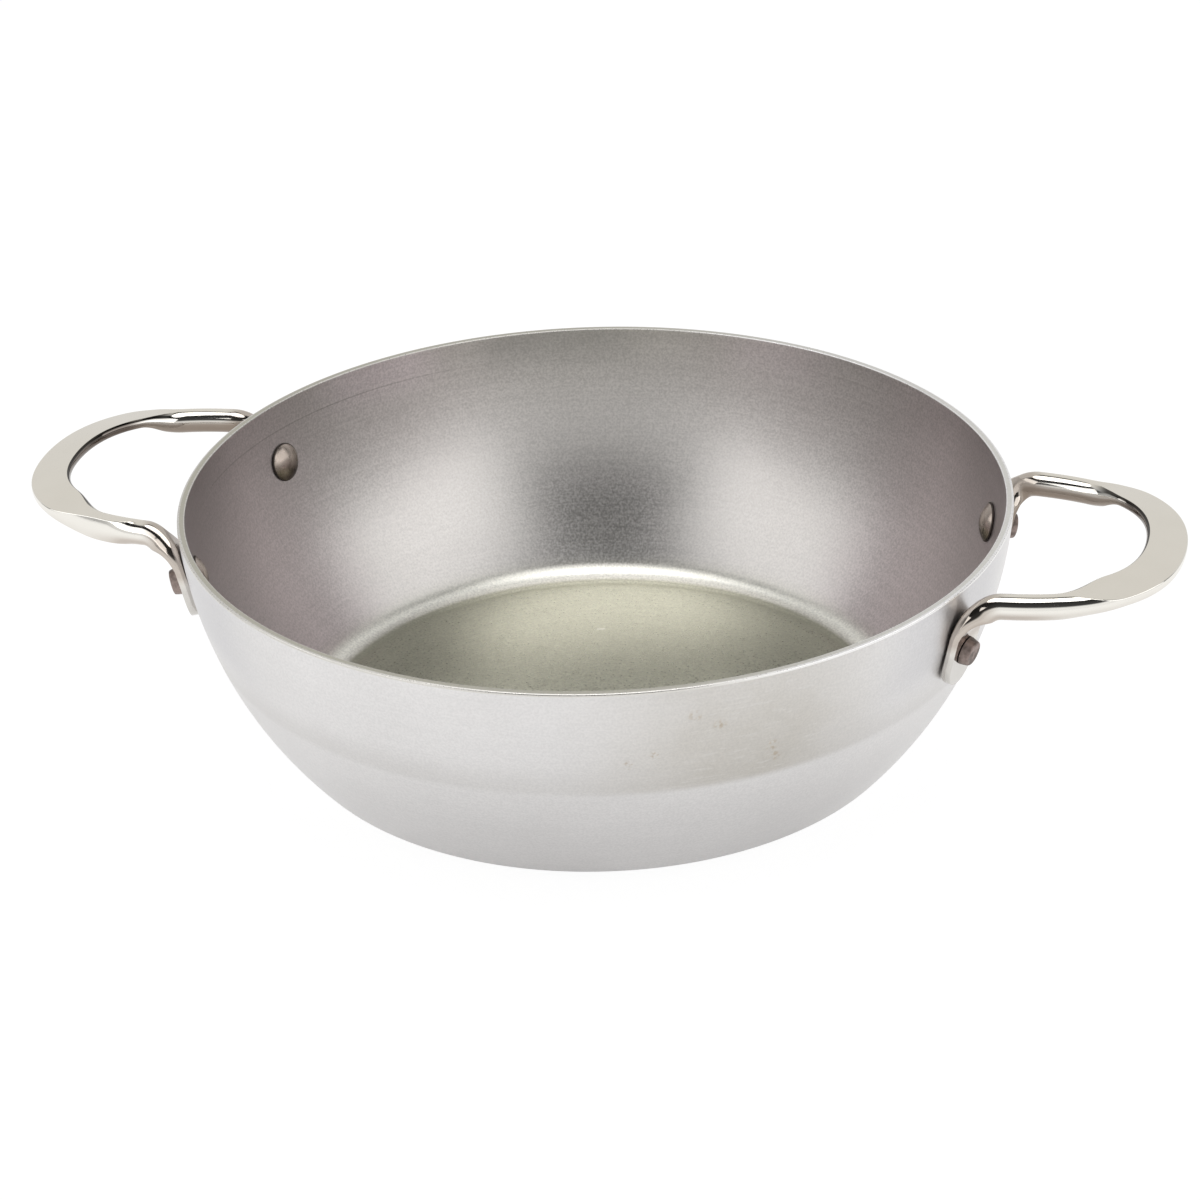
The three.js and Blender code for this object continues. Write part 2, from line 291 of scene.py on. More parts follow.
def body_strips():
    """The body's section, from the middle of the base to the middle of the floor: outside, outer edge,
    rim, inner edge and inside."""
    outer_corner = (RIM_RADIUS, PAN_HEIGHT)
    inner_corner = wall_point(PAN_HEIGHT, inside_arc)
    below_outer = wall_point(PAN_HEIGHT - SHEET, WALL_ARC_RADIUS)
    below_inner = wall_point(PAN_HEIGHT - SHEET, inside_arc)
    outer_round = soft_corner(below_outer, outer_corner, inner_corner, RIM_OUTER_ROUND)
    inner_round = soft_corner(outer_corner, inner_corner, below_inner, RIM_INNER_ROUND)
    rim = [outer_round[-1], inner_round[0]]

    corner = arc(corner_centre, CORNER_RADIUS, QUARTER_TURN, corner_lean, CORNER_STEPS)
    outer_lean = lean_at(outer_round[0][1], WALL_ARC_RADIUS)
    wall = arc(wall_centre, WALL_ARC_RADIUS, corner_lean, outer_lean, WALL_STEPS)
    outside = [(0, 0), *corner, *[press_line(point) for point in wall[1:-1]], outer_round[0]]

    inner_lean = lean_at(inner_round[-1][1], inside_arc)
    seam = inside_centre[0]
    ramp = seam - SEAM_WIDTH - FLOOR_RAMP
    floor = SHEET + FLOOR_RISE
    inside = [
        inner_round[-1],
        *arc(wall_centre, inside_arc, inner_lean, inside_lean, WALL_STEPS)[1:],
        *arc(inside_centre, INSIDE_ROUND, inside_lean, QUARTER_TURN, CORNER_STEPS)[1:],
        (seam - SEAM_WIDTH / 2, SHEET - SEAM_DEPTH),
        (seam - SEAM_WIDTH, SHEET),
        (ramp, floor),
        (ramp - FLOOR_RAMP, floor),
        (0, floor),
    ]
    return [outside, outer_round, rim, inner_round, inside]


# Rivet places: on the outside of the wall, square to it

rivet_height = PAN_HEIGHT - RIVET_DROP
rivet_lean = lean_at(rivet_height, WALL_ARC_RADIUS)
rivet_radius = wall_centre[0] + WALL_ARC_RADIUS * math.cos(rivet_lean)
rivet_azimuth = math.asin(RIVET_SPACING / 2 / rivet_radius)
RIVET_AZIMUTHS = {
    "right_rear_rivet": rivet_azimuth,
    "right_front_rivet": -rivet_azimuth,
    "left_rear_rivet": math.pi - math.asin((RIVET_SPACING / 2 + LEFT_REAR_SHIFT) / rivet_radius),
    "left_front_rivet": math.pi + rivet_azimuth,
}


def rivet_place(azimuth):
    """Where a rivet leaves the wall, with Z along the rivet and X in the level direction."""
    radial = Vector((math.cos(azimuth), math.sin(azimuth), 0))
    outward = radial * math.cos(rivet_lean) - UP * math.sin(rivet_lean)
    level = UP.cross(radial)
    axes = Matrix((level, outward.cross(level), outward)).transposed().to_4x4()
    return Matrix.Translation(radial * rivet_radius + UP * rivet_height) @ axes


def rivet_drills():
    """Tools that cut the rivet holes through the wall and the feet."""
    radius = SHANK_DIAMETER / 2 + SHANK_GAP
    reach = SHEET + FOOT_THICKNESS + ROD_DIAMETER
    ends = [(0, -reach), (radius, -reach), (radius, reach), (0, reach)]
    shapes = [lathe([ends], RIVET_SIDES, rivet_place(a)) for a in RIVET_AZIMUTHS.values()]
    return [make_piece("drill", shape, []) for shape in shapes]


def rivet_strips():
    """The rivet's section: the smooth dome, the edge of the head with the shank, and the hammered tail."""
    shank = SHANK_DIAMETER / 2
    head = HEAD_DIAMETER / 2
    tail = TAIL_DIAMETER / 2
    hollow = head ** 2 / (2 * (min(rivet_radius, WALL_ARC_RADIUS) - SHEET))
    head_seat = -SHEET - SEAT_GAP - hollow
    tail_seat = SEAT_GAP + FOOT_THICKNESS + SEAT_GAP
    tail_end = tail_seat + TAIL_LENGTH
    dome_rise = HEAD_HEIGHT - HEAD_EDGE
    dome_radius = (head ** 2 + dome_rise ** 2) / (2 * dome_rise)
    dome_angle = math.asin(head / dome_radius)
    dome_centre = (0, head_seat - HEAD_HEIGHT + dome_radius)
    dome = arc(dome_centre, dome_radius, QUARTER_TURN, QUARTER_TURN - dome_angle, DOME_STEPS)
    dome[0] = (0, head_seat - HEAD_HEIGHT)
    edge = [
        dome[-2],
        *soft_corner(dome[-2], dome[-1], (head, head_seat), HEAD_ROUND),
        (head, head_seat),
        (shank, head_seat),
        (shank, tail_seat),
    ]
    hammered = [
        edge[-1],
        (tail, tail_seat),
        *soft_corner((tail, tail_seat), (tail - TAIL_TAPER, tail_end), (0, tail_end), TAIL_ROUND),
        (tail / 2, tail_end),
        (0, tail_end),
    ]
    return [dome[:-1], edge, hammered]


def dent(shape, place):
    """Hammering leaves the tail a little uneven."""
    to_local = place.inverted()
    for vert in shape.verts:
        local = to_local @ vert.co
        if local.z > FOOT_THICKNESS + 2 * SEAT_GAP + SLACK:
            local.xy += local.xy.normalized() * noise.noise(vert.co / HAMMER_DENT_SIZE) * HAMMER_DENT
            vert.co = place @ local


# Guide line of half the right handle, at +Y: up the inner face of the foot, over the bend and along
# the top of the loop to the middle of the grip. Places on it are lengths from the rivet

foot_place = rivet_place(rivet_azimuth)
foot_out = foot_place.col[2].to_3d()
foot_up = foot_out.cross(UP).cross(foot_out).normalized()
foot_seat = foot_place.translation + foot_out * SEAT_GAP
top_height = PAN_HEIGHT - HANDLE_DROP
corner_at = (top_height - foot_seat.z) / foot_up.z
bend_corner = foot_seat + foot_up * corner_at
along_arm = Vector((math.cos(ARM_CONVERGENCE), -math.sin(ARM_CONVERGENCE), 0))
bend_radius = BEND_INSIDE_RADIUS + ROD_DIAMETER
bend_angle = foot_up.angle(along_arm)
bend_reach = bend_radius * math.tan(bend_angle / 2)
bend_start_at = corner_at - bend_reach
bend_end_at = bend_start_at + bend_radius * bend_angle


def foot_steps():
    """Steps of the guide line: place, point, direction, the way the section faces, share of its width."""
    end_radius = FOOT_WIDTH / 2
    end_centre_at = end_radius - FOOT_TAIL
    places = []
    for i in range(FOOT_END_STEPS, 0, -1):
        angle = QUARTER_TURN * (i - FOOT_END_GAP) / FOOT_END_STEPS
        places.append((end_centre_at - end_radius * math.sin(angle), math.cos(angle)))
    for i in range(FOOT_STEPS):
        places.append((mix(end_centre_at, bend_start_at, i / FOOT_STEPS), 1))
    return [(at, foot_seat + foot_up * at, foot_up, -foot_out, share) for at, share in places]


def bend_steps():
    inward = (along_arm - foot_up).normalized()
    centre = bend_corner + inward * bend_radius / math.cos(bend_angle / 2)
    spoke = (bend_corner - foot_up * bend_reach - centre) / bend_radius
    steps = []
    for i in range(BEND_STEPS + 1):
        turn = bend_angle * i / BEND_STEPS
        point = centre + (spoke * math.cos(turn) + foot_up * math.sin(turn)) * bend_radius
        tangent = foot_up * math.cos(turn) - spoke * math.sin(turn)
        facing = (-foot_out).lerp(UP, smoothstep(i / BEND_STEPS))
        steps.append((bend_start_at + bend_radius * turn, point, tangent, facing, 1))
    return steps


def bezier(points, share):
    """A point of a cubic curve, and the direction of the curve there."""
    a, b, c, d = points
    rest = 1 - share
    point = a * rest ** 3 + b * 3 * rest ** 2 * share + c * 3 * rest * share ** 2 + d * share ** 3
    slope = (b - a) * rest ** 2 + (c - b) * 2 * rest * share + (d - c) * share ** 2
    return point, slope.normalized()


def loop_steps():
    start = bend_corner + along_arm * bend_reach
    tip = Vector((RIM_RADIUS + HANDLE_REACH - GRIP_WIDTH / 2, 0, top_height))
    beside_tip = tip + Vector((0, LOOP_FULLNESS, 0))
    curve = (start, start + along_arm * ARM_FULLNESS, beside_tip, tip)
    at = bend_end_at
    before = start
    steps = []
    for i in range(1, LOOP_STEPS + 1):
        point, tangent = bezier(curve, i / LOOP_STEPS)
        at += (point - before).length
        before = point
        steps.append((at, point, tangent, UP, 1))
    return steps


# Handles: each section of the rod hangs from the guide line

def within(distance, run):
    """From 1 over the length of a run to 0 past its taper."""
    length, taper = run
    return 1 - smoothstep((distance - length) / taper)


def rod_section(from_rivet, from_middle, flat_run, thin_run, steep_run):
    """Width, thickness, share of grip, and how far the inner and the outer side's edges tilt."""
    foot = within(from_rivet, FOOT_RUN)
    wide = within(from_middle, WIDE_RUN)
    grip = within(from_middle, flat_run)
    thin = within(from_middle, thin_run)
    steep = within(from_middle, steep_run)
    foot_widening = foot * (FOOT_WIDTH - ROD_DIAMETER)
    foot_thinning = foot * (ROD_DIAMETER - FOOT_THICKNESS)
    width = ROD_DIAMETER + foot_widening + wide * (GRIP_WIDTH - ROD_DIAMETER)
    thickness = ROD_DIAMETER - foot_thinning - thin * (ROD_DIAMETER - GRIP_THICKNESS)
    inner_tilt = max(foot, grip) * EDGE_TILT
    outer_tilt = max(foot * EDGE_TILT, steep * OUTER_TILT)
    return width, thickness, grip, inner_tilt, outer_tilt


def side_arcs(half_width, half, tilt):
    """The round of one side of a section and the small round of its edge: each one's centre and radius,
    and the turn at which the edge ends."""
    radius = half / math.cos(tilt)
    side = half_width - radius
    edge = min(EDGE_RADIUS, half)
    reach = math.sqrt(max((radius - edge) ** 2 - (half - edge) ** 2, 0))
    return (side, 0, radius), (side + reach, half - edge, edge), math.atan2(reach, half - edge)


def section_ring(point, tangent, facing, width_share, section):
    """A round rod, or a bar with two flats and round sides, that hangs from the guide line by half its
    thickness."""
    width, thickness, grip, inner_tilt, outer_tilt = section
    sloped = facing + UP.cross(tangent) * grip * math.tan(GRIP_SLOPE)
    across = sloped.cross(tangent).normalized()
    upright = tangent.cross(across)
    half = thickness / 2
    centre = point - upright * half
    inner = side_arcs(width / 2, half, inner_tilt)
    outer = side_arcs(width / 2, half, outer_tilt)
    ring = []
    for i in range(4 * EDGE_STEPS):
        angle = QUARTER_TURN * (i + 0.5) / EDGE_STEPS
        x, y = math.cos(angle), math.sin(angle)
        side, edge, edge_turn = outer if x > 0 else inner
        arc_x, arc_y, radius = edge if math.acos(abs(y)) < edge_turn else side
        sideways = (math.copysign(1, x) * arc_x + radius * x) * width_share
        upwards = math.copysign(arc_y, y) + radius * y
        ring.append(centre + across * sideways + upright * upwards)
    return ring


def half_handle(flat_run, thin_run, steep_run):
    """Rings of half the right handle, from the end of its foot at +Y to the middle of the grip."""
    steps = foot_steps() + bend_steps() + loop_steps()
    middle_at = steps[-1][0]
    rings = []
    for at, point, tangent, facing, width_share in steps:
        section = rod_section(at, middle_at - at, flat_run, thin_run, steep_run)
        rings.append(section_ring(point, tangent, facing, width_share, section))
    return rings


def handle_shape(half, other_half):
    """A half of the handle, joined to the mirror image of another."""
    mirrored = [[Vector((p.x, -p.y, p.z)) for p in ring] for ring in reversed(other_half[:-1])]
    return loft(half + mirrored)


# Shader nodes

NOISE_SPAN = (0.3, 0.7)  # holds nearly all values of a noise
NOISE_MIDDLE = (0.35, 0.65)


def add_node(tree, kind, inputs=None, **settings):
    """A node with its settings, and each input set to a value or linked to a socket."""
    node = tree.nodes.new(kind)
    for name, value in settings.items():
        setattr(node, name, value)
    for name, value in (inputs or {}).items():
        if isinstance(value, bpy.types.NodeSocket):
            tree.links.new(value, node.inputs[name])
        else:
            node.inputs[name].default_value = value
    return node


def maths(tree, operation, a, b=0.0):
    return add_node(tree, "ShaderNodeMath", {0: a, 1: b}, operation=operation).outputs[0]


def vector_maths(tree, operation, a, b=(0, 0, 0), output="Value"):
    return add_node(tree, "ShaderNodeVectorMath", {0: a, 1: b}, operation=operation).outputs[output]


def coordinates(tree, vector):
    return add_node(tree, "ShaderNodeSeparateXYZ", {"Vector": vector}).outputs


def remap(tree, value, span, low, high, kind="SMOOTHSTEP"):
    """From low at the start of a span of the value to high at its end."""
    ends = {"Value": value, "From Min": span[0], "From Max": span[1], "To Min": low, "To Max": high}
    return add_node(tree, "ShaderNodeMapRange", ends, interpolation_type=kind).outputs["Result"]


def rise(tree, value, span, share=1.0):
    """A mask that comes up to a share over a span of the value."""
    return remap(tree, value, span, 0.0, share)


def fall(tree, value, span, share=1.0):
    """A mask that goes down from a share over a span of the value."""
    return remap(tree, value, span, share, 0.0)


def overlap(tree, *masks):
    """Where all the masks are set."""
    product = masks[0]
    for mask in masks[1:]:
        product = maths(tree, "MULTIPLY", product, mask)
    return product


def between(tree, value, first, last, share=1.0):
    """A mask that comes up over the first span of the value and goes down over the last."""
    return overlap(tree, rise(tree, value, first), fall(tree, value, last, share))


def blend(tree, share, first, second, mode="MIX"):
    ends = {"Fac": share, "Color1": first, "Color2": second}
    return add_node(tree, "ShaderNodeMixRGB", ends, blend_type=mode).outputs["Color"]


def grain(tree, vector, size, detail=3.0, roughness=0.5):
    """Noise whose blotches are about one size across, in metres."""
    ends = {"Vector": vector, "Scale": 1 / size, "Detail": detail, "Roughness": roughness}
    return add_node(tree, "ShaderNodeTexNoise", ends).outputs["Fac"]


def vary(tree, texture, low, high):
    """A noise spread from low to high."""
    return remap(tree, texture, NOISE_SPAN, low, high)


def bump(tree, height, distance, normal=None):
    ends = {"Height": height, "Distance": distance}
    if normal:
        ends["Normal"] = normal
    return add_node(tree, "ShaderNodeBump", ends).outputs["Normal"]


# Where a point of a surface is

def azimuth_of(tree, place):
    """Angle about the pan's axis, in radians from +X."""
    x, y, _ = coordinates(tree, place)
    return maths(tree, "ARCTAN2", y, x)


def height_of(tree, place):
    return coordinates(tree, place)["Z"]


def radius_of(tree, place):
    """Distance from the pan's axis."""
    level = vector_maths(tree, "MULTIPLY", place, (1, 1, 0), "Vector")
    return vector_maths(tree, "LENGTH", level)


def from_right(tree, place):
    """From 1 on the right of the photograph to -1 on its left."""
    return maths(tree, "COSINE", maths(tree, "SUBTRACT", azimuth_of(tree, place), STUDIO_TURN))


# Metals

def start_metal(name):
    material = bpy.data.materials.new(name)
    material.use_nodes = True
    tree = material.node_tree
    shader = tree.nodes["Principled BSDF"]
    shader.inputs["Metallic"].default_value = 1.0
    place = add_node(tree, "ShaderNodeTexCoord").outputs["Object"]
    return material, tree, shader, place


def link(tree, shader, color, roughness, normal):
    tree.links.new(color, shader.inputs["Base Color"])
    tree.links.new(roughness, shader.inputs["Roughness"])
    tree.links.new(normal, shader.inputs["Normal"])


# Steel sheet
SAND_SIZE = 0.9 * MM
SAND_SHARE = 0.8  # of the speckle, the rest being brush lines
BRUSH_SIZE = 0.9 * MM
BRUSH_STRETCH = 0.02  # width of a brush line as a share of its length
SAND_DEPTH = 0.15 * MM  # both depths are for a contrast of 1
BRUSH_DEPTH = 0.05 * MM
CLOUD_SIZE = 60 * MM
SHEET_CONTRAST = 0.06
INSIDE_CONTRAST = 0.15


def brushed_grain(tree, place, size, stretch):
    """Noise drawn out into lines around the pan."""
    along = maths(tree, "MULTIPLY", azimuth_of(tree, place), RIM_RADIUS * stretch)
    ends = {"X": along, "Y": height_of(tree, place), "Z": radius_of(tree, place)}
    return grain(tree, add_node(tree, "ShaderNodeCombineXYZ", ends).outputs[0], size)


def finish_sheet(tree, shader, place, color, roughness, contrast):
    """Sandy grain and fine lines around the pan, over a colour."""
    smoothest, roughest = roughness
    lines = brushed_grain(tree, place, BRUSH_SIZE, BRUSH_STRETCH)
    sand = grain(tree, place, SAND_SIZE, detail=2.0, roughness=0.6)
    sand_part = maths(tree, "MULTIPLY", sand, SAND_SHARE)
    speckle = maths(tree, "ADD", sand_part, maths(tree, "MULTIPLY", lines, 1 - SAND_SHARE))
    color = blend(tree, 1.0, color, vary(tree, speckle, 1 - contrast, 1 + contrast), "MULTIPLY")
    rough = remap(tree, speckle, NOISE_MIDDLE, smoothest, roughest)
    normal = bump(tree, lines, contrast * BRUSH_DEPTH, bump(tree, sand, contrast * SAND_DEPTH))
    link(tree, shader, color, rough, normal)


def clouded(tree, place, light, dark):
    """A colour that drifts between two."""
    clouds = grain(tree, place, CLOUD_SIZE, detail=4.0)
    return blend(tree, vary(tree, clouds, 0.0, 1.0), light, dark)


# Outside: small brown stains lie at an azimuth in degrees and a height in millimetres
STAINS = ((-63.6, 86.8), (-60.3, 81.2), (-72.0, 67.5), (-68.7, 71.3), (-52.0, 61.5), (-52.6, 66.8))
STAIN_RADIUS = 3.2 * MM
STAIN_STRENGTH = 0.5
STAIN_COLOR = (0.42, 0.32, 0.20, 1)
FLECK_SIZE = 1.7 * MM
FLECK_SPAN = (0.45, 0.65)
OUTSIDE_LIGHT = (0.79, 0.777, 0.77, 1)
OUTSIDE_DARK = (0.75, 0.737, 0.73, 1)
OUTSIDE_ROUGHNESS = (0.32, 0.42)
PRESS_LINE_EDGE = (PRESS_LINE_HEIGHT - 3 * MM, PRESS_LINE_HEIGHT + 1 * MM)
# Painted shade: the outside is coloured darker in a band above the press line
BAND_HEIGHTS = (PRESS_LINE_HEIGHT, PRESS_LINE_HEIGHT + PRESS_LINE_ABOVE)
BAND_STRENGTH = 0.6
BAND_PAINTED_SHADE = (0.67, 0.655, 0.64, 1)
PATINA_LEFT = degrees(-84, -58)
PATINA_RIGHT = degrees(-54, -30)
PATINA_STRENGTH = 0.9
PATINA_HEIGHTS = millimetres(74, 95)
PATINA_AT_TOP = 0.75
PATINA_CLOUD_SIZE = 16 * MM
PATINA_BETWEEN_CLOUDS = 0.82
PATINA_COLOR = (0.57, 0.545, 0.50, 1)
SCRATCH_SIZE = 1.2 * MM
SCRATCH_STRETCH = 0.15
SCRATCH_SPAN = (0.55, 0.72)
SCRATCH_STRENGTH = 0.4
SCRATCH_COLOR = (0.76, 0.75, 0.735, 1)
# Painted shade on the outside by the ends near the handles
LEFT_END = degrees(-138, -124)
LEFT_END_STRENGTH = 0.55
RIGHT_END_START = degrees(-40, -28)
RIGHT_END_STOP = degrees(-14, 0)
RIGHT_END_STRENGTH = 0.6
END_HEIGHTS = millimetres(58, 78)
END_PAINTED_SHADE = (0.62, 0.615, 0.63, 1)


def stains(tree, place):
    """Clusters of small flecks."""
    flecks = rise(tree, grain(tree, place, FLECK_SIZE, detail=2.0), FLECK_SPAN)
    near = 0.0
    for stain_azimuth, stain_height in STAINS:
        radius, height = wall_point(stain_height * MM, WALL_ARC_RADIUS)
        turn = math.radians(stain_azimuth)
        middle = (radius * math.cos(turn), radius * math.sin(turn), height)
        away = vector_maths(tree, "DISTANCE", place, middle)
        near = maths(tree, "MAXIMUM", fall(tree, away, (STAIN_RADIUS / 3, STAIN_RADIUS)), near)
    return overlap(tree, near, flecks, STAIN_STRENGTH)


def patina(tree, place):
    """A cloudy patch above the press line."""
    azimuth = azimuth_of(tree, place)
    height = height_of(tree, place)
    return overlap(
        tree,
        rise(tree, height, PRESS_LINE_EDGE),
        between(tree, azimuth, PATINA_LEFT, PATINA_RIGHT, PATINA_STRENGTH),
        remap(tree, height, PATINA_HEIGHTS, 1.0, PATINA_AT_TOP),
        vary(tree, grain(tree, place, PATINA_CLOUD_SIZE), PATINA_BETWEEN_CLOUDS, 1.0),
    )


def outside_steel():
    """Pale, with painted shade as a darker band above the press line, a yellowish patina on the right with
    scratches in it, painted shade on the ends by the handles, and stains."""
    material, tree, shader, place = start_metal("steel_outside")
    azimuth = azimuth_of(tree, place)
    height = height_of(tree, place)
    color = clouded(tree, place, OUTSIDE_LIGHT, OUTSIDE_DARK)
    above_line = rise(tree, height, PRESS_LINE_EDGE)
    # painted shade above the press line
    band = overlap(tree, above_line, fall(tree, height, BAND_HEIGHTS, BAND_STRENGTH))
    color = blend(tree, band, color, BAND_PAINTED_SHADE)
    patch = patina(tree, place)
    color = blend(tree, patch, color, PATINA_COLOR)
    lines = brushed_grain(tree, place, SCRATCH_SIZE, SCRATCH_STRETCH)
    scratches = rise(tree, lines, SCRATCH_SPAN, SCRATCH_STRENGTH)
    color = blend(tree, overlap(tree, patch, scratches), color, SCRATCH_COLOR)
    # painted shade by the handles
    left_end = fall(tree, azimuth, LEFT_END, LEFT_END_STRENGTH)
    right_end = between(tree, azimuth, RIGHT_END_START, RIGHT_END_STOP, RIGHT_END_STRENGTH)
    either_end = maths(tree, "MAXIMUM", left_end, right_end)
    color = blend(tree, overlap(tree, either_end, rise(tree, height, END_HEIGHTS)), color, END_PAINTED_SHADE)
    color = blend(tree, stains(tree, place), color, STAIN_COLOR)
    finish_sheet(tree, shader, place, color, OUTSIDE_ROUGHNESS, SHEET_CONTRAST)
    return material


# Rim and its two edges: spans of the share towards the right
RIM_LIGHT = (0.79, 0.775, 0.735, 1)
RIM_DARK = (0.74, 0.725, 0.685, 1)
RIM_LEFT_TINT = (0.51, 0.49, 0.41, 1)
RIM_LEFT_TINT_SPAN = (-0.1, 0.8)
RIM_LEFT_TINT_STRENGTH = 0.9
RIM_ROUGHNESS = (0.30, 0.40)
# Painted highlight on the rim's edges, with less of it towards the left
EDGE_LIGHT = (0.97, 0.96, 0.95, 1)
EDGE_DARK = (0.93, 0.92, 0.91, 1)
EDGE_LESS_HIGHLIGHT = (0.72, 0.70, 0.66, 1)
EDGE_LESS_HIGHLIGHT_SPAN = (0.1, 0.6)
EDGE_ROUGHNESS = (0.26, 0.36)


def rim_steel():
    """Darker and more olive towards the left."""
    material, tree, shader, place = start_metal("steel_rim")
    color = clouded(tree, place, RIM_LIGHT, RIM_DARK)
    towards_left = fall(tree, from_right(tree, place), RIM_LEFT_TINT_SPAN, RIM_LEFT_TINT_STRENGTH)
    color = blend(tree, towards_left, color, RIM_LEFT_TINT)
    finish_sheet(tree, shader, place, color, RIM_ROUGHNESS, SHEET_CONTRAST)
    return material


def edge_steel():
    """Painted highlight: the edges of the rim are coloured near white, most of all on the right."""
    material, tree, shader, place = start_metal("steel_edge_highlight")
    color = clouded(tree, place, EDGE_LIGHT, EDGE_DARK)
    color = blend(tree, fall(tree, from_right(tree, place), EDGE_LESS_HIGHLIGHT_SPAN), color, EDGE_LESS_HIGHLIGHT)
    finish_sheet(tree, shader, place, color, EDGE_ROUGHNESS, contrast=0.0)
    return material


# Inside of the wall: each tint's colour, its strength, and spans of the share towards the right. At each
# side the first tint is mauve and the second is painted shade; at the back the light tints are painted
# reflections and the dark one is painted shade.
INSIDE_LIGHT = (0.63, 0.61, 0.59, 1)
INSIDE_DARK = (0.60, 0.58, 0.56, 1)
WALL_ROUGHNESS = (0.33, 0.40)
RIGHT_TINT_AND_SHADE = (
    ((0.62, 0.555, 0.56, 1), 1.0, (0.65, 0.95)),
    # painted shade at the right edge
    ((0.44, 0.395, 0.40, 1), 0.6, (0.9, 1.0)),
)
LEFT_TINT_AND_SHADE = (
    ((0.56, 0.50, 0.505, 1), 1.0, (-0.95, -0.65)),
    # painted shade at the left edge
    ((0.38, 0.34, 0.345, 1), 0.8, (-1.0, -0.9)),
)
BACK_PAINTED_REFLECTIONS_AND_SHADE = (
    # two light patches are painted reflections, and the dark one between them is painted shade
    ((0.81, 0.75, 0.765, 1), 0.8, (-0.78, -0.62), (-0.5, -0.36)),
    ((0.81, 0.75, 0.765, 1), 0.45, (0.30, 0.45), (0.5, 0.7)),
    ((0.43, 0.42, 0.41, 1), 0.7, (-0.36, -0.22), (0.0, 0.2)),
)
BACK_HEIGHTS = millimetres(76, 97)
BACK_AZIMUTHS = (0.0, 0.1)  # the back half has positive azimuths
SPIN_LINE_HEIGHT = 88 * MM
SPIN_LINE_EDGE = millimetres(0.1, 0.4)
SPIN_LINE_AZIMUTHS = degrees(110, 150)
SPIN_LINE_STRENGTH = 0.4
SPIN_LINE_COLOR = (0.25, 0.235, 0.22, 1)

# Floor: spans of radius, or of the distance to either side
FLOOR_EDGE = millimetres(112, 124)
FLOOR_SIDES = millimetres(30, 85)
FLOOR_COLOR = (0.61, 0.61, 0.50, 1)
FLOOR_SIDE_COLOR = (0.44, 0.44, 0.36, 1)
# The pale ring is a painted reflection in the round between floor and wall
RING_INNER = millimetres(111, 114)
RING_OUTER = millimetres(116, 121)
RING_PAINTED_REFLECTION = (0.84, 0.83, 0.77, 1)
# A real scratch, with its glint painted into its colour as a highlight
FLOOR_SCRATCH_MIDDLE = Vector((-16.4, 65.6, 0)) * MM
FLOOR_SCRATCH_LENGTH = 4 * MM
FLOOR_SCRATCH_WIDTH = 1.3 * MM
FLOOR_SCRATCH_STRENGTH = 0.7
FLOOR_SCRATCH_GLINT = (0.90, 0.89, 0.83, 1)
FLOOR_ROUGHNESS = (0.27, 0.33)
SMOOTH_FLOOR_EDGE = millimetres(106, 118)


def wall_color(tree, place):
    """Grey, mauve towards the sides with painted shade at their very edge, painted reflections and painted
    shade high up at the back, and a faint line around on the left.
    """
    azimuth = azimuth_of(tree, place)
    height = height_of(tree, place)
    across = from_right(tree, place)
    color = clouded(tree, place, INSIDE_LIGHT, INSIDE_DARK)
    # mauve towards the sides, then painted shade at their very edge
    for (right, right_share, right_span), (left, left_share, left_span) in zip(RIGHT_TINT_AND_SHADE, LEFT_TINT_AND_SHADE):
        color = blend(tree, rise(tree, across, right_span, right_share), color, right)
        color = blend(tree, fall(tree, across, left_span, left_share), color, left)
    upper_back = overlap(tree, rise(tree, height, BACK_HEIGHTS), rise(tree, azimuth, BACK_AZIMUTHS))
    # painted reflections and painted shade high up at the back
    for tint, share, first, last in BACK_PAINTED_REFLECTIONS_AND_SHADE:
        patch = overlap(tree, upper_back, between(tree, across, first, last, share))
        color = blend(tree, patch, color, tint)
    away = maths(tree, "ABSOLUTE", maths(tree, "SUBTRACT", height, SPIN_LINE_HEIGHT))
    on_left = rise(tree, azimuth, SPIN_LINE_AZIMUTHS, SPIN_LINE_STRENGTH)
    spin_line = overlap(tree, fall(tree, away, SPIN_LINE_EDGE), on_left)
    return blend(tree, spin_line, color, SPIN_LINE_COLOR)


def floor_scratch(tree, place):
    """One short bright scratch on the floor, level in the photograph."""
    # its brightness is a painted highlight, the glint of the scratch
    ends = {"Vector": place, "Location": FLOOR_SCRATCH_MIDDLE, "Rotation": (0, 0, STUDIO_TURN)}
    local = add_node(tree, "ShaderNodeMapping", ends, vector_type="TEXTURE").outputs[0]
    x, y, _ = coordinates(tree, local)
    length_span = (FLOOR_SCRATCH_LENGTH / 3, FLOOR_SCRATCH_LENGTH / 2)
    width_span = (FLOOR_SCRATCH_WIDTH / 4, FLOOR_SCRATCH_WIDTH / 2)
    along = fall(tree, maths(tree, "ABSOLUTE", x), length_span)
    across = fall(tree, maths(tree, "ABSOLUTE", y), width_span)
    return overlap(tree, along, across, FLOOR_SCRATCH_STRENGTH)


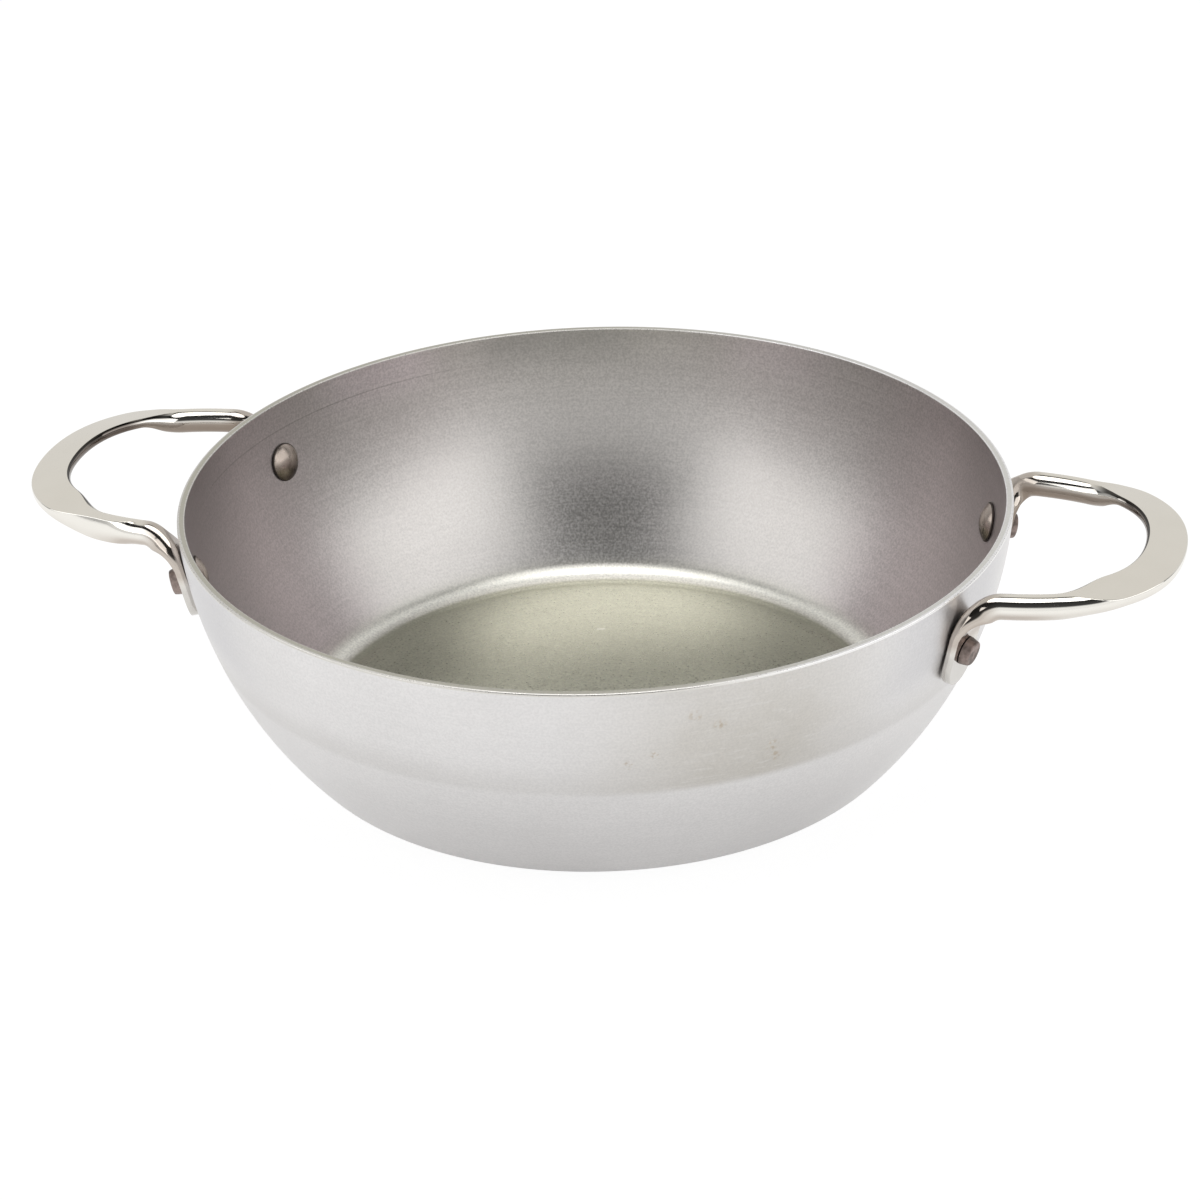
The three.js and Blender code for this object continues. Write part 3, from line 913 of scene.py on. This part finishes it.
def inside_steel():
    """The wall's colours, a khaki floor that darkens to its sides, and a pale ring between them, a painted
    reflection.
    """
    material, tree, shader, place = start_metal("steel_inside")
    radius = radius_of(tree, place)
    sideways = maths(tree, "ABSOLUTE", maths(tree, "MULTIPLY", from_right(tree, place), radius))
    floor_color = blend(tree, rise(tree, sideways, FLOOR_SIDES), FLOOR_COLOR, FLOOR_SIDE_COLOR)
    color = blend(tree, fall(tree, radius, FLOOR_EDGE), wall_color(tree, place), floor_color)
    color = blend(tree, floor_scratch(tree, place), color, FLOOR_SCRATCH_GLINT)
    # painted reflection in the ring
    color = blend(tree, between(tree, radius, RING_INNER, RING_OUTER), color, RING_PAINTED_REFLECTION)
    roughness = [
        remap(tree, radius, SMOOTH_FLOOR_EDGE, on_floor, on_wall)
        for on_floor, on_wall in zip(FLOOR_ROUGHNESS, WALL_ROUGHNESS)
    ]
    finish_sheet(tree, shader, place, color, roughness, INSIDE_CONTRAST)
    return material


# Handles: spans of how far a face looks up, or into the loop, and of where it is
HAZE_SIZE = 14 * MM
SCUFF_SIZE = 0.8 * MM
SCUFF_DEPTH = 0.003 * MM
HANDLE_ROUGHNESS = (0.05, 0.12)
FLAT_LIGHT = (0.89, 0.845, 0.755, 1)
FLAT_DARK = (0.84, 0.795, 0.705, 1)
SIDE_LIGHT = (0.89, 0.865, 0.81, 1)
SIDE_DARK = (0.85, 0.825, 0.77, 1)
FLAT_UPWARD = (0.75, 0.92)
# Painted shade, brownish, on the undersides of the rods
UNDER_UPWARD = (-0.45, 0.1)
UNDER_REACH = millimetres(172, 192)
UNDER_ROD = 0.85
UNDER_GRIP = 0.2
UNDER_HEIGHTS = millimetres(76, 84)
UNDER_FOOT = 0.2
UNDER_PAINTED_SHADE = (0.54, 0.475, 0.42, 1)
FOOT_HEIGHTS = millimetres(72, 78)
FOOT_COLOR = (0.67, 0.65, 0.615, 1)
LEG_HEIGHTS = millimetres(74, 80)
LEG_RADII = millimetres(168, 175)
LEG_STRENGTH = 0.8
LEG_COLOR = (0.50, 0.435, 0.38, 1)
LOOP_CENTRE = 178 * MM
# Painted shade on the low sides that face into the loop
LOW_SIDE_INTO_LOOP = (0.2, 0.6)
LOW_SIDE_UPWARD = (0.0, 0.5)
LOW_SIDE_STRENGTH = 0.9
LOW_SIDE_PAINTED_SHADE = (0.25, 0.20, 0.16, 1)
# Dark painted reflection on the grip's side that faces into the loop
GRIP_SIDE_INTO_LOOP = (0.2, 0.5)
GRIP_SIDE_REACH = millimetres(193, 202)
GRIP_SIDE_STRENGTH = 0.9
GRIP_SIDE_PAINTED_REFLECTION = (0.13, 0.105, 0.09, 1)
# Dark painted reflection along the inner edge of the grip's flat
GRIP_EDGE_LOW = (0.5, 0.65)
GRIP_EDGE_HIGH = (0.92, 0.97)
GRIP_EDGE_INTO_LOOP = (0.05, 0.25)
GRIP_EDGE_REACH = millimetres(184, 192)
GRIP_EDGE_STRENGTH = 0.95
GRIP_EDGE_PAINTED_REFLECTION = (0.03, 0.026, 0.022, 1)


def looks_into_loop(tree, place, facing):
    """How far a face of a handle looks towards the middle of its loop."""
    x, y, _ = coordinates(tree, place)
    centre_x = maths(tree, "MULTIPLY", maths(tree, "SIGN", x), LOOP_CENTRE)
    ends = {"X": maths(tree, "SUBTRACT", centre_x, x), "Y": maths(tree, "MULTIPLY", y, -1.0)}
    inwards = add_node(tree, "ShaderNodeCombineXYZ", ends).outputs[0]
    inwards = vector_maths(tree, "NORMALIZE", inwards, output="Vector")
    return vector_maths(tree, "DOT_PRODUCT", inwards, facing)


def rod_color(tree, place, haze, upward):
    """Bright, with brownish painted shade underneath, a brownish leg, and a greyer foot."""
    height = height_of(tree, place)
    reach = maths(tree, "ABSOLUTE", coordinates(tree, place)["X"])
    flats = blend(tree, haze, FLAT_LIGHT, FLAT_DARK)
    sides = blend(tree, haze, SIDE_LIGHT, SIDE_DARK)
    color = blend(tree, rise(tree, upward, FLAT_UPWARD), sides, flats)
    # painted shade on what faces down
    under = overlap(
        tree,
        remap(tree, reach, UNDER_REACH, UNDER_ROD, UNDER_GRIP),
        fall(tree, upward, UNDER_UPWARD),
        remap(tree, height, UNDER_HEIGHTS, UNDER_FOOT, 1.0),
    )
    color = blend(tree, under, color, UNDER_PAINTED_SHADE)
    color = blend(tree, fall(tree, height, FOOT_HEIGHTS), color, FOOT_COLOR)
    near_wall = fall(tree, radius_of(tree, place), LEG_RADII)
    leg = overlap(tree, rise(tree, height, LEG_HEIGHTS, LEG_STRENGTH), near_wall)
    return blend(tree, leg, color, LEG_COLOR)


def polished_steel():
    """The rod's colours, with painted shade and dark painted reflections on what faces into the loop, and
    fine scuffs.
    """
    material, tree, shader, place = start_metal("polished_steel")
    haze = grain(tree, place, HAZE_SIZE)
    facing = add_node(tree, "ShaderNodeNewGeometry").outputs["Normal"]
    upward = coordinates(tree, facing)["Z"]
    inside = looks_into_loop(tree, place, facing)
    reach = maths(tree, "ABSOLUTE", coordinates(tree, place)["X"])
    color = rod_color(tree, place, haze, upward)
    # painted shade on the low inner sides
    into_low_side = rise(tree, inside, LOW_SIDE_INTO_LOOP, LOW_SIDE_STRENGTH)
    low_side = overlap(tree, into_low_side, fall(tree, upward, LOW_SIDE_UPWARD))
    color = blend(tree, low_side, color, LOW_SIDE_PAINTED_SHADE)
    # dark painted reflection on the grip's inner side
    into_grip_side = rise(tree, inside, GRIP_SIDE_INTO_LOOP, GRIP_SIDE_STRENGTH)
    grip_side = overlap(tree, into_grip_side, rise(tree, reach, GRIP_SIDE_REACH))
    color = blend(tree, grip_side, color, GRIP_SIDE_PAINTED_REFLECTION)
    # dark painted reflection along the inner edge
    grip_edge = overlap(
        tree,
        between(tree, upward, GRIP_EDGE_LOW, GRIP_EDGE_HIGH),
        rise(tree, inside, GRIP_EDGE_INTO_LOOP, GRIP_EDGE_STRENGTH),
        rise(tree, reach, GRIP_EDGE_REACH),
    )
    color = blend(tree, grip_edge, color, GRIP_EDGE_PAINTED_REFLECTION)
    scuffs = bump(tree, grain(tree, place, SCUFF_SIZE), SCUFF_DEPTH)
    link(tree, shader, color, vary(tree, haze, *HANDLE_ROUGHNESS), scuffs)
    return material


# Rivets
BLOTCH_SIZE = 4 * MM
PIT_SIZE = 0.6 * MM
DOME_PIT_DEPTH = 0.006 * MM
DOME_ROUGHNESS = (0.22, 0.32)
DOME_LIGHT = (0.50, 0.43, 0.38, 1)
DOME_DARK = (0.36, 0.305, 0.265, 1)
# Painted shade on the lower half of each head
DOME_PAINTED_SHADE = (0.085, 0.065, 0.052, 1)
DOME_SHADE_HEIGHTS = (rivet_height - 1 * MM, rivet_height + 6 * MM)
DOME_SHADE_WAVE = 6 * MM
DOME_SHADE_STRENGTH = 0.9
# Painted shade on the edges of the heads
RIVET_EDGE_BLOTCH_SIZE = 2 * MM
RIVET_EDGE_BUMP_DEPTH = 0.02 * MM
RIVET_EDGE_ROUGHNESS = (0.5, 0.7)
RIVET_EDGE_SHADE_DARK = (0.05, 0.04, 0.035, 1)
RIVET_EDGE_SHADE_LIGHT = (0.10, 0.085, 0.075, 1)
TAIL_PIT_DEPTH = 0.04 * MM
TAIL_ROUGHNESS = (0.42, 0.58)
TAIL_LIGHT = (0.36, 0.29, 0.265, 1)
TAIL_DARK = (0.16, 0.13, 0.115, 1)


def rivet_dome_steel():
    """Smooth bronze-brown heads, with painted shade in their lower half."""
    material, tree, shader, place = start_metal("rivet_dome_steel")
    blotches = grain(tree, place, BLOTCH_SIZE)
    color = blend(tree, blotches, DOME_LIGHT, DOME_DARK)
    wave = maths(tree, "MULTIPLY", blotches, DOME_SHADE_WAVE)
    level = maths(tree, "ADD", height_of(tree, place), wave)
    # painted shade below the middle of the head
    low = fall(tree, level, DOME_SHADE_HEIGHTS, DOME_SHADE_STRENGTH)
    color = blend(tree, low, color, DOME_PAINTED_SHADE)
    pits = bump(tree, grain(tree, place, PIT_SIZE), DOME_PIT_DEPTH)
    link(tree, shader, color, vary(tree, blotches, *DOME_ROUGHNESS), pits)
    return material


def rivet_edge_painted_shade():
    """Painted shade: near black on the edge of a head and in the corner around it."""
    material, tree, shader, place = start_metal("rivet_edge_painted_shade")
    edge_blotches = grain(tree, place, RIVET_EDGE_BLOTCH_SIZE)
    color = blend(tree, edge_blotches, RIVET_EDGE_SHADE_DARK, RIVET_EDGE_SHADE_LIGHT)
    rough = vary(tree, edge_blotches, *RIVET_EDGE_ROUGHNESS)
    link(tree, shader, color, rough, bump(tree, edge_blotches, RIVET_EDGE_BUMP_DEPTH))
    return material


def rivet_tail_steel():
    """Rough mauve-brown tails."""
    material, tree, shader, place = start_metal("rivet_tail_steel")
    blotches = rise(tree, grain(tree, place, BLOTCH_SIZE), NOISE_MIDDLE)
    pits = grain(tree, place, PIT_SIZE)
    color = blend(tree, blotches, TAIL_LIGHT, TAIL_DARK)
    rough = vary(tree, pits, *TAIL_ROUGHNESS)
    link(tree, shader, color, rough, bump(tree, pits, TAIL_PIT_DEPTH))
    return material


# Pieces

def add_piece(node, shape, materials, drills=()):
    """A finished piece in the place of a node."""
    piece = make_piece(node + "_shape", shape, materials)
    if drills:
        drill(piece, drills)
    shade(piece)
    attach(piece, "root")
    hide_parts(node)


sheet_edge_highlight = edge_steel()
handle_steel = polished_steel()
rivet_materials = [rivet_dome_steel(), rivet_edge_painted_shade(), rivet_tail_steel()]

drills = rivet_drills()
body_materials = [outside_steel(), sheet_edge_highlight, rim_steel(), sheet_edge_highlight, inside_steel()]
add_piece("pan_body", lathe(body_strips(), BODY_SIDES), body_materials, drills)

rear_half = half_handle(REAR_FLAT_RUN, REAR_THIN_RUN, GRIP_RUN)
right_front_half = half_handle(GRIP_RUN, GRIP_RUN, GRIP_RUN)
left_front_half = half_handle(GRIP_RUN, GRIP_RUN, LEFT_STEEP_RUN)
right = handle_shape(rear_half, right_front_half)
left = handle_shape(left_front_half, rear_half)
bmesh.ops.rotate(left, verts=left.verts, matrix=Matrix.Rotation(math.pi, 3, "Z"))
add_piece("right_handle", right, [handle_steel], drills)
add_piece("left_handle", left, [handle_steel], drills)

for rivet_node, azimuth in RIVET_AZIMUTHS.items():
    rivet_at = rivet_place(azimuth)
    rivet_shape = lathe(rivet_strips(), RIVET_SIDES, rivet_at)
    dent(rivet_shape, rivet_at)
    add_piece(rivet_node, rivet_shape, rivet_materials)

for tool in drills:
    bpy.data.objects.remove(tool)


# Studio: white floor and backdrop, a softbox overhead and one to each side of the camera

WHITE = (1, 1, 1, 1)
studio = Matrix.Rotation(STUDIO_TURN, 4, "Z")

# Ground under the pan. Its glow is the share of plain white in what a ray sees, the rest being lit paint
GROUND_RADIUS = 6.0
GROUND_DROP = 0.1 * MM
GROUND_PAINT = (0.95, 0.95, 0.95, 1)
GROUND_WHITE = 1.08
GLOW_SEEN = 0.85
GLOW_MIRRORED = 0.72
# Painted shadow: what reflections see of the ground close to the pan
PAINTED_SHADOW_GLOW_BACK = 0.56  # mirrored, close to the pan
PAINTED_SHADOW_GLOW_FRONT = 0.24
NEAR_RADII = (0.12, 0.30)
FRONT_SPAN = (0.3, 0.9)

# Room that the steel mirrors: spans of how far a direction points up, or away from the camera
BACKDROP_EDGE = (0.30, 0.55)
BACKDROP_LEVEL = 0.74
BACKDROP_BEND = 0.45  # from here up the backdrop leans forward
BACKDROP_LEAN = 0.6
BACKDROP_TOP = (0.78, 0.86)
BACKDROP_TOP_RISE = 0.4  # towards the sides
BACKDROP_PAST_TOP = 0.08
LOW_EDGE = (0.24, 0.48)
LOW_PAST_EDGE = 0.05
LOW_TURN = (-0.9, -0.3)
LOW_LEVEL_FRONT = 0.95
LOW_LEVEL_SIDES = 0.4


def seen_directly(tree, rays):
    """Set for what the camera sees, also through clear things."""
    return maths(tree, "MAXIMUM", rays["Is Camera Ray"], rays["Is Transmission Ray"])


def floor_material():
    """White to the camera and in reflections, with the pan's shadow. Close to the pan, reflections see it
    less white, most of all in front: a painted shadow.
    """
    material = bpy.data.materials.new("floor_white")
    material.use_nodes = True
    tree = material.node_tree
    tree.nodes.remove(tree.nodes["Principled BSDF"])
    rays = add_node(tree, "ShaderNodeLightPath").outputs
    place = add_node(tree, "ShaderNodeTexCoord").outputs["Object"]
    paint = add_node(tree, "ShaderNodeBsdfDiffuse", {"Color": GROUND_PAINT}).outputs[0]
    white = add_node(tree, "ShaderNodeEmission", {"Color": WHITE, "Strength": GROUND_WHITE}).outputs[0]
    # painted shadow close to the pan, deepest in front
    in_front = maths(tree, "SINE", maths(tree, "SUBTRACT", STUDIO_TURN, azimuth_of(tree, place)))
    near = remap(tree, in_front, FRONT_SPAN, PAINTED_SHADOW_GLOW_BACK, PAINTED_SHADOW_GLOW_FRONT)
    level = remap(tree, radius_of(tree, place), NEAR_RADII, near, GLOW_MIRRORED, "LINEAR")
    mirrored = overlap(tree, rays["Is Glossy Ray"], level)
    glow = maths(tree, "ADD", overlap(tree, seen_directly(tree, rays), GLOW_SEEN), mirrored)
    mixed = add_node(tree, "ShaderNodeMixShader", {0: glow, 1: paint, 2: white}).outputs[0]
    tree.links.new(mixed, tree.nodes["Material Output"].inputs["Surface"])
    return material


def add_floor():
    shape = bmesh.new()
    place = Matrix.Translation((0, 0, -GROUND_DROP))
    bmesh.ops.create_circle(shape, cap_ends=True, segments=BODY_SIDES, radius=GROUND_RADIUS, matrix=place)
    floor = make_piece("floor", shape, [floor_material()])


def add_world():
    """White to the camera. The pan mirrors a pale backdrop and pale walls low down, and dark elsewhere."""
    world = bpy.data.worlds.new("studio")
    bpy.context.scene.world = world
    world.use_nodes = True
    tree = world.node_tree
    rays = add_node(tree, "ShaderNodeLightPath").outputs
    sight = add_node(tree, "ShaderNodeTexCoord").outputs["Generated"]
    height = coordinates(tree, sight)["Z"]
    behind = vector_maths(tree, "DOT_PRODUCT", sight, studio @ Vector((0, 1, 0)))
    beside = maths(tree, "ABSOLUTE", vector_maths(tree, "DOT_PRODUCT", sight, studio @ Vector((1, 0, 0))))
    above_bend = maths(tree, "MAXIMUM", maths(tree, "SUBTRACT", height, BACKDROP_BEND), 0.0)
    inwards = maths(tree, "ADD", behind, maths(tree, "MULTIPLY", above_bend, BACKDROP_LEAN))
    under_top = maths(tree, "SUBTRACT", height, maths(tree, "MULTIPLY", beside, BACKDROP_TOP_RISE))
    backdrop = overlap(
        tree,
        rise(tree, inwards, BACKDROP_EDGE, BACKDROP_LEVEL),
        remap(tree, under_top, BACKDROP_TOP, 1.0, BACKDROP_PAST_TOP),
    )
    low = overlap(
        tree,
        remap(tree, behind, LOW_TURN, LOW_LEVEL_FRONT, LOW_LEVEL_SIDES),
        remap(tree, height, LOW_EDGE, 1.0, LOW_PAST_EDGE),
    )
    room = maths(tree, "MAXIMUM", backdrop, low)
    level = maths(tree, "MAXIMUM", room, seen_directly(tree, rays))
    tree.links.new(level, tree.nodes["Background"].inputs["Strength"])
    tree.nodes["Background"].inputs["Color"].default_value = WHITE


def add_softbox(name, shape, place, width, height, radiance):
    """A soft lamp that faces the pan."""
    lamp = bpy.data.lights.new(name, "AREA")
    lamp.shape = shape
    lamp.size = width
    lamp.size_y = height
    fill = math.pi / 4 if shape == "ELLIPSE" else 1
    lamp.energy = radiance * math.pi * width * height * fill
    softbox = bpy.data.objects.new(name, lamp)
    where = studio @ Vector(place)
    facing = Vector((0, 0, PAN_HEIGHT)) - where
    softbox.matrix_world = Matrix.Translation(where) @ facing.to_track_quat("-Z", "Y").to_matrix().to_4x4()
    softbox.visible_camera = False
    bpy.context.scene.collection.objects.link(softbox)


def add_camera():
    sine, cosine = math.sin(CAMERA_PITCH), math.cos(CAMERA_PITCH)
    roll_sine, roll_cosine = math.sin(CAMERA_ROLL), math.cos(CAMERA_ROLL)
    to_right = Vector((roll_cosine, roll_sine * sine, roll_sine * cosine))
    down = Vector((roll_sine, -roll_cosine * sine, -roll_cosine * cosine))
    ahead = Vector((0, cosine, -sine))
    axes = Matrix((to_right, -down, -ahead)).transposed()
    to_rim = to_right * RIM_FROM_CAMERA.x + down * RIM_FROM_CAMERA.y + ahead * RIM_FROM_CAMERA.z
    camera = bpy.data.cameras.new("camera")
    camera.sensor_width = SENSOR_WIDTH
    camera.lens = SENSOR_WIDTH * FOCAL_LENGTH / IMAGE_SIDE
    viewer = bpy.data.objects.new("camera", camera)
    viewer.matrix_world = studio @ Matrix.Translation(UP * PAN_HEIGHT - to_rim) @ axes.to_4x4()
    bpy.context.scene.collection.objects.link(viewer)
    bpy.context.scene.camera = viewer


add_floor()
add_world()
overhead_lamp = {"place": (-0.02, -0.02, 1.7), "width": 1.5, "height": 1.1, "radiance": 2.35}
left_lamp = {"place": (-1.53, -0.49, 1.15), "width": 2.3, "height": 1.3, "radiance": 1.4}
right_lamp = {"place": (1.47, -0.63, 1.15), "width": 2.5, "height": 1.3, "radiance": 1.4}
add_softbox("overhead_softbox", "ELLIPSE", **overhead_lamp)
add_softbox("left_softbox", "RECTANGLE", **left_lamp)
add_softbox("right_softbox", "RECTANGLE", **right_lamp)
add_camera()
bpy.context.scene.view_settings.view_transform = "Standard"
